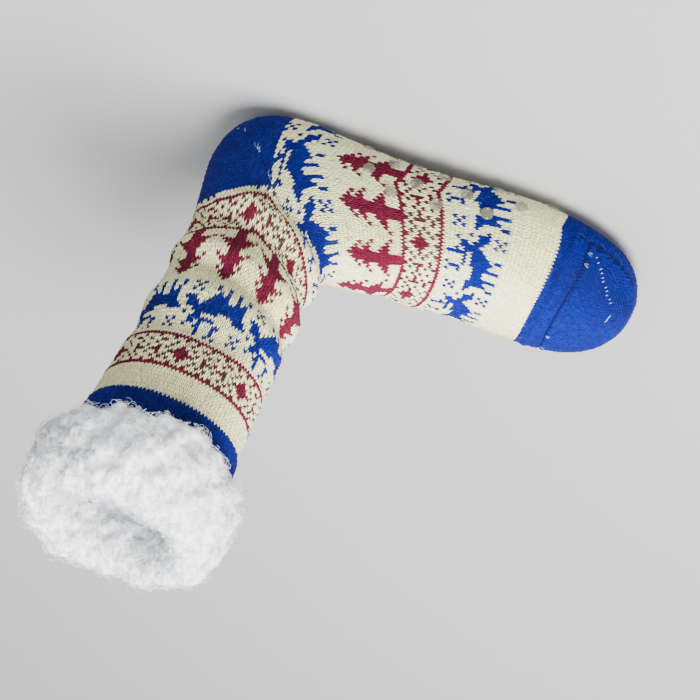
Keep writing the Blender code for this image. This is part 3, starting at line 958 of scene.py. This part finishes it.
def curls(name, roots, normals, finish, length, thickness):
    """Short curled locks that stand out of the pile and bend over."""
    count = len(roots)
    one, two = two_across(normals)
    size = (length * RNG.uniform(*CURL_SIZES, count))[:, None]
    turns = (RNG.uniform(*CURL_TURNS, count) * 2 * math.pi)[:, None]
    t = np.linspace(0.0, 1.0, CURL_STEPS)[None, :]
    radius = size / turns * CURL_WIDTH
    rise = size * CURL_RISE * np.sin(math.pi * CURL_ARCH * t) - CURL_ROOT
    side = radius * np.sin(turns * t)
    drift = radius * (1 - np.cos(turns * t)) + size * CURL_DRIFT * t
    paths = (
        roots[:, None, :]
        + normals[:, None, :] * rise[..., None]
        + one[:, None, :] * side[..., None]
        + two[:, None, :] * drift[..., None]
    )
    radii = thickness * (1.0 - CURL_TAPER * t) * RNG.uniform(*CURL_THICKNESSES, (count, 1)) / 2
    return tube_piece(name, paths, radii, THIN_SIDES, finish)


def fleece_collar(face, finish):
    """The turned-out end of the lining, with clumps, tufts and curled locks."""
    round_count, along_count = COLLAR_GRID
    turns = np.arange(round_count) / round_count
    places = np.arange(along_count) / along_count * len(cuff_profile())
    base = cuff_surface(face, turns, places)
    normals = closed_normals(base)
    flat = base.reshape(-1, 3)
    open_part = np.flatnonzero(np.tile(places > OPEN_FROM, round_count))
    height = -COLLAR_SINK
    for count, rise, reach in (COLLAR_CLUMPS, COLLAR_TUFTS):
        seeds = flat[RNG.choice(open_part, count, replace=False)]
        height = height + rise * lumps(flat, seeds, reach)
    height *= np.tile(np.clip(places - PILE_FROM, 0.0, 1.0), round_count)
    grid = base + normals * height.reshape(round_count, along_count)[..., None]
    made = [grid_piece("fleece_collar", grid, finish, closed_along=True)]
    chosen = RNG.choice(open_part, LOCKS)
    spot = grid.reshape(-1, 3)[chosen] + RNG.normal(0.0, LOCK_SCATTER, (LOCKS, 3))
    facing = unit(normals.reshape(-1, 3)[chosen] + RNG.normal(0.0, LOCK_LEAN, (LOCKS, 3)))
    half = LOCKS // 2
    for part, (name, length, thickness) in zip((slice(half), slice(half, LOCKS)), LOCK_SETS):
        made.append(curls(name, spot[part], facing[part], finish, length, thickness))
    return made


def fleece_lining(face, finish):
    """The pile inside the knit, lumpy on its inner face."""
    along_step, round_step = LINING_STEPS
    rings = face.rings(along_step)
    inward = -face.normals[rings][:, ::round_step]
    depth = KNIT_WALL + LINING_CLEARANCE + LINING_DEPTH * LINING_THICKNESS
    base = face.grid[rings][:, ::round_step] + inward * depth
    flat = base.reshape(-1, 3)
    count, rise, reach = LINING_LUMPS
    seeds = flat[RNG.choice(len(flat), count, replace=False)]
    height = rise * lumps(flat, seeds, reach)
    grid = base + inward * height.reshape(base.shape[:2])[..., None]
    grid[-1, :, 2] = KNIT_HEIGHT + 2 * FIT_GAP
    return grid_piece("fleece_lining", grid, finish, flip=True)


def fuzz(face, stitches, finish):
    """Fine ends of yarn that stand out of the knit."""
    some = [stitches[i] for i in RNG.choice(len(stitches), FUZZ_COUNT, replace=False)]
    where, facing = place_many(face, some)
    one, two = two_across(facing)
    length = RNG.uniform(*FUZZ_LENGTHS, FUZZ_COUNT)[:, None]
    t = np.linspace(0.0, 1.0, FUZZ_STEPS)[None, :]
    arch = np.sin(math.pi * FUZZ_ARCH * t)
    rise = FUZZ_ROOT + length * RNG.uniform(*FUZZ_RISES, (FUZZ_COUNT, 1)) * arch
    sway = length * RNG.uniform(*FUZZ_SWAYS, (FUZZ_COUNT, 1)) * t**2
    paths = (
        where[:, None, :]
        + facing[:, None, :] * rise[..., None]
        + one[:, None, :] * (length * t)[..., None]
        + two[:, None, :] * sway[..., None]
    )
    paths[..., 2] = np.maximum(paths[..., 2], FLOOR_GAP)
    colour = np.array([blend(one.colour, CREAM, FUZZ_PALER) for one in some])
    radii = np.broadcast_to(FUZZ_RADIUS * (1.0 - FUZZ_TAPER * t), (FUZZ_COUNT, FUZZ_STEPS))
    return tube_piece("knit_fuzz", paths, radii, THIN_SIDES, finish, colour)


def toe_threads(face, finish):
    """Pale ends of the carried yarn on the toe: a chain of flecks from the seam's end, and a short thread."""
    paths = []
    along_half, round_half, more = FLECK_HALF
    for share in np.linspace(0.0, 1.0, FLECKS):
        course = FLECKS_FROM[0] + (FLECKS_TO[0] - FLECKS_FROM[0]) * share + RNG.normal(0.0, FLECK_JITTER[0])
        turn = FLECKS_FROM[1] + (FLECKS_TO[1] - FLECKS_FROM[1]) * share + RNG.normal(0.0, FLECK_JITTER[1])
        half = round_half + more * RNG.random()
        paths.append([(course - along_half, turn - half), (course, turn), (course + along_half, turn + half)])
    whole = THREAD_TO[1] - THREAD_FROM[1]
    for share in np.linspace(0.0, 1.0, THREAD_PARTS):
        turn = THREAD_FROM[1] + whole * share
        middle = (THREAD_FROM[0] + THREAD_BOW, turn + whole / 4)
        paths.append([(THREAD_FROM[0], turn), middle, (THREAD_TO[0], turn + whole / 2)])
    places = np.array(paths)
    point, normal = face.place(places[..., 0], places[..., 1], False)
    radii = np.broadcast_to(THREAD_RADII, places.shape[:2])
    colours = np.array([PALE_BLUE] * len(paths))
    return tube_piece("toe_threads", point + normal * THREAD_LIFT, radii, THREAD_SIDES, finish, colours)


def dot_seat(solid):
    """A printed dot's foot, two axes across it, its normal out of the sole, its height and its radius."""
    places = np.unique(np.array([v.co for v in solid.data.vertices]).round(7), axis=0)
    centre = places.mean(axis=0)
    _, _, axes = np.linalg.svd(places - centre, full_matrices=False)
    normal = axes[2]
    high = (places - centre) @ normal
    radial = np.linalg.norm((places - centre) - np.outer(high, normal), axis=1)
    if radial[high > 0].mean() > radial[high < 0].mean():
        normal, high = -normal, -high
    return centre + normal * high.min(), axes[:2], normal, high.max() - high.min(), radial.max()


def dome_faces():
    """A dome's faces as vertex numbers: rings of quads, the tip's triangles, and the base."""
    tip = DOME_SIDES * len(DOME_LEVELS)
    last = tip - DOME_SIDES
    quads = []
    for start in range(0, last, DOME_SIDES):
        above = start + DOME_SIDES
        for k in range(DOME_SIDES):
            after = (k + 1) % DOME_SIDES
            quads.append((start + k, start + after, above + after, above + k))
    tips = [(last + k, last + (k + 1) % DOME_SIDES, tip) for k in range(DOME_SIDES)]
    return quads + tips + [tuple(reversed(range(DOME_SIDES)))]


def silicone_dots(frame, finish):
    """A smooth dome for every printed dot, as wide as it and a little higher than the stitches round it."""
    angle = np.arange(DOME_SIDES) / DOME_SIDES * 2 * math.pi
    circle = np.stack([np.cos(angle), np.sin(angle)], axis=1)
    spread = np.vstack([share * circle for share, _ in DOME_LEVELS] + [np.zeros((1, 2))])
    lift = np.append(np.repeat([rise for _, rise in DOME_LEVELS], DOME_SIDES), 1.0)[:, None]
    names = sorted(n for n in frame["nodes"] if n.startswith("grip_dot_"))
    origin, side = bake_cells(len(names))
    faces = dome_faces()
    vertices, corners, sizes, uvs = [], [], [], []
    for number, name in enumerate(names):
        foot, axes, normal, height, radius = dot_seat(frame["nodes"][name])
        vertices.append(foot + spread @ axes * radius + normal * (height + DOT_OVER) * lift)
        order = 1 if np.dot(np.cross(*axes), normal) > 0 else -1
        cell = origin[number] + (0.5 + DOT_CELL * spread) / side
        for shape in faces:
            shape = list(shape[::order])
            corners += [number * len(spread) + corner for corner in shape]
            uvs.append(cell[shape])
            sizes.append(len(shape))
    vertices = np.vstack(vertices)
    vertices[:, 2] = np.maximum(vertices[:, 2], 0.0)
    return mesh_object("silicone_dots", vertices, corners, sizes, np.vstack(uvs), finish), names


def new_material(name, **sockets):
    """A material with values on its shader's sockets, with its node tree and shader."""
    made = bpy.data.materials.new(name)
    made.use_nodes = True
    shader = made.node_tree.nodes["Principled BSDF"]
    set_sockets(shader, **sockets)
    return made, made.node_tree, shader


def set_sockets(node, **sockets):
    """Sets input values of a node, named with _ for a space."""
    for key, value in sockets.items():
        node.inputs[key.replace("_", " ")].default_value = value


def noise(tree, scale, detail):
    """Noise in the object's own coordinates."""
    where = tree.nodes.new("ShaderNodeTexCoord")
    made = tree.nodes.new("ShaderNodeTexNoise")
    set_sockets(made, Scale=scale, Detail=detail)
    tree.links.new(where.outputs["Object"], made.inputs["Vector"])
    return made.outputs["Fac"]


def add_bump(tree, shader, height, strength, distance):
    bump = tree.nodes.new("ShaderNodeBump")
    set_sockets(bump, Strength=strength, Distance=distance)
    tree.links.new(height, bump.inputs["Height"])
    tree.links.new(bump.outputs["Normal"], shader.inputs["Normal"])


def yarn_material():
    """Spun yarn: the stitch's own colour, mottled, with fine fibres as bump."""
    made, tree, shader = new_material(
        "yarn", Roughness=0.82, Specular_IOR_Level=0.18, Sheen_Weight=0.04, Sheen_Roughness=0.45
    )
    value = tree.nodes.new("ShaderNodeMapRange")
    set_sockets(value, From_Min=0.3, From_Max=0.7, To_Min=0.72, To_Max=1.18)
    tree.links.new(noise(tree, scale=900.0, detail=3.0), value.inputs["Value"])
    paint = tree.nodes.new("ShaderNodeAttribute")
    paint.attribute_name = "yarn_colour"
    mottled = tree.nodes.new("ShaderNodeVectorMath")
    mottled.operation = "SCALE"
    tree.links.new(paint.outputs["Color"], mottled.inputs[0])
    tree.links.new(value.outputs["Result"], mottled.inputs["Scale"])
    tree.links.new(mottled.outputs["Vector"], shader.inputs["Base Color"])
    fibres = noise(tree, scale=2600.0, detail=2.0)
    add_bump(tree, shader, fibres, strength=0.45, distance=0.00018)
    return made


def fleece_material():
    """White pile, a little greyer in patches set by noise, a painted shade meant for its hollows."""
    made, tree, shader = new_material(
        "fleece", Roughness=0.9, Specular_IOR_Level=0.15, Sheen_Weight=0.35, Sheen_Roughness=0.5
    )
    ramp = tree.nodes.new("ShaderNodeValToRGB")
    # Painted shade: the ramp's darker stop greys the pile where the noise is low, standing in for shade in
    # the hollows.
    painted_shade_hollow, top = ramp.color_ramp.elements
    painted_shade_hollow.position, painted_shade_hollow.color = 0.30, (0.80, 0.82, 0.85, 1.0)
    top.position, top.color = 0.62, (0.90, 0.91, 0.92, 1.0)
    tree.links.new(noise(tree, scale=260.0, detail=4.0), ramp.inputs["Fac"])
    tree.links.new(ramp.outputs["Color"], shader.inputs["Base Color"])
    pile = noise(tree, scale=1400.0, detail=3.0)
    add_bump(tree, shader, pile, strength=0.6, distance=0.0004)
    return made


def silicone_material():
    """Clear, faintly yellow silicone through which the knit shows."""
    return new_material(
        "silicone", Base_Color=(0.20, 0.20, 0.13, 1.0), Roughness=0.24, IOR=1.41, Transmission_Weight=0.10,
        Alpha=0.45, Coat_Weight=1.0, Coat_Roughness=0.08,
    )[0]


def area_light(name, place, size, power):
    data = bpy.data.lights.new(name, "AREA")
    data.shape = "RECTANGLE"
    data.size, data.size_y = size
    data.energy = power
    lamp = bpy.data.objects.new(name, data)
    bpy.context.scene.collection.objects.link(lamp)
    lamp.location = place
    lamp.rotation_mode = "QUATERNION"
    lamp.rotation_quaternion = (Vector(LIGHT_AIM) - Vector(place)).to_track_quat("-Z", "Y")


def stage():
    """The pale floor, the world's light and the lamps."""
    mesh = bpy.data.meshes.new("floor")
    corners = [(x * FLOOR_REACH, y * FLOOR_REACH, 0.0) for x, y in ((-1, -1), (1, -1), (1, 1), (-1, 1))]
    mesh.from_pydata(corners, [], [(0, 1, 2, 3)])
    floor = bpy.data.objects.new("floor", mesh)
    bpy.context.scene.collection.objects.link(floor)
    mesh.materials.append(new_material("floor", Base_Color=(*FLOOR_COLOUR, 1.0), Roughness=0.8)[0])
    world = bpy.data.worlds.new("studio")
    bpy.context.scene.world = world
    world.use_nodes = True
    set_sockets(world.node_tree.nodes["Background"], Color=(*WORLD_COLOUR, 1.0), Strength=WORLD_STRENGTH)
    for name, (place, size, power) in LIGHTS.items():
        area_light(name, place, size, power)


def camera():
    """The photo looks down on the left side of the foot, with the sole's edge up in the picture."""
    data = bpy.data.cameras.new("camera")
    data.sensor_width = 36.0
    data.lens = CAMERA_LENS
    data.clip_start, data.clip_end = 0.01, 20.0
    made = bpy.data.objects.new("camera", data)
    bpy.context.scene.collection.objects.link(made)
    azimuth, elevation, roll = (math.radians(v) for v in CAMERA_ANGLES)
    back = Vector((
        math.sin(azimuth) * math.cos(elevation), -math.cos(azimuth) * math.cos(elevation), math.sin(elevation)
    ))
    place = Matrix.Translation(Vector(CAMERA_AIM) + back * CAMERA_AWAY)
    turn = (-back).to_track_quat("-Z", "Y").to_matrix().to_4x4()
    made.matrix_world = place @ turn @ Matrix.Rotation(roll, 4, "Z")
    bpy.context.scene.camera = made


def middle_y(points):
    """Halfway between the sides."""
    return (points[..., 1].max() + points[..., 1].min()) / 2


def main():
    for left_over in list(bpy.data.objects):
        bpy.data.objects.remove(left_over, do_unlink=True)
    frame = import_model()
    _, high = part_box("knit_sock")
    solid = np.array([v.co for v in frame["nodes"]["knit_sock"].data.vertices])
    unmoved = Face(np.zeros(3))
    face = Face(np.array([high[0] - FOOT_LENGTH, middle_y(solid) - middle_y(unmoved.grid), 0.0]))
    yarn, pile, silicone = yarn_material(), fleece_material(), silicone_material()
    groups = stitch_groups(face)
    every = [one for group in groups.values() for one in group]
    knit = [stitch_piece("knit_" + name, face, some, yarn) for name, some in groups.items()]
    knit.append(ground_piece(face, every, yarn))
    knit.append(fuzz(face, every, yarn))
    knit.append(toe_threads(face, yarn))
    collar = fleece_collar(face, pile)
    lining = fleece_lining(face, pile)
    dots, dot_names = silicone_dots(frame, silicone)
    for piece in knit:
        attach(piece, "root")
    for piece in [*collar, lining]:
        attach(piece, "root")
    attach(dots, "root")
    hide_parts("knit_sock")
    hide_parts("sherpa_cuff")
    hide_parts("sherpa_lining")
    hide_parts(*dot_names)
    stage()
    camera()


main()
